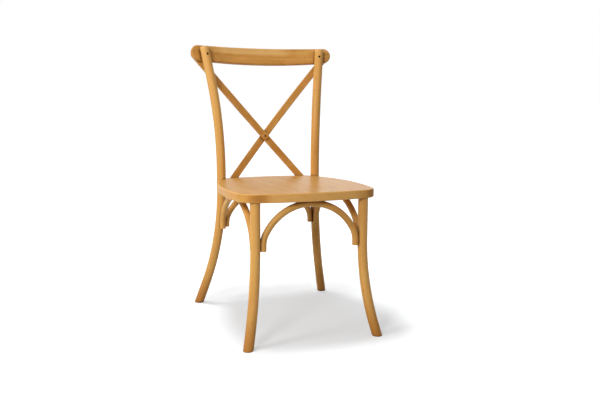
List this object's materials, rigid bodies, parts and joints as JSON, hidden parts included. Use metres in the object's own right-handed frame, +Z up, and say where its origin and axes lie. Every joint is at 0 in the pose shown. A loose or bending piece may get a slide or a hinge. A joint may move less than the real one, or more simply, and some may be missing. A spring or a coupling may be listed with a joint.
{
  "type": "dining chair",
  "caption": "Bentwood cross back dining chair in honey coloured wood with a solid seat and arched braces.",
  "frame": {"origin": "on the floor, under the middle of the chair's width and depth", "axes": "+X to the right as seen from the front, +Y towards the back rest, +Z up; the sitter faces -Y"},
  "size_m": [0.501, 0.5776, 0.8909],
  "materials": {
    "seat_wood": "satin lacquer",
    "rod_wood": "satin lacquer",
    "rail_wood": "satin lacquer",
    "steel": "plain steel"
  },
  "bodies": {
    "root": {"seat": "seat_wood", "rear_post_left": "rod_wood", "rear_post_right": "rod_wood", "front_leg_left": "rod_wood", "front_leg_right": "rod_wood", "crest_rail": "rail_wood", "cross_lath_front": "rail_wood", "cross_lath_rear": "rail_wood", "cross_button": "rail_wood", "arch_front": "rod_wood", "arch_rear": "rod_wood", "arch_left": "rod_wood", "arch_right": "rod_wood", "rail_post_screws": "steel", "rail_lath_screws": "steel", "seat_lath_screws": "steel", "cross_screw": "steel", "arch_end_screws": "steel", "arch_end_plugs": "rod_wood", "arch_crown_screws": "steel", "seat_bolts": "steel", "seat_barrel_nuts": "steel"}
  },
  "joints": []
}
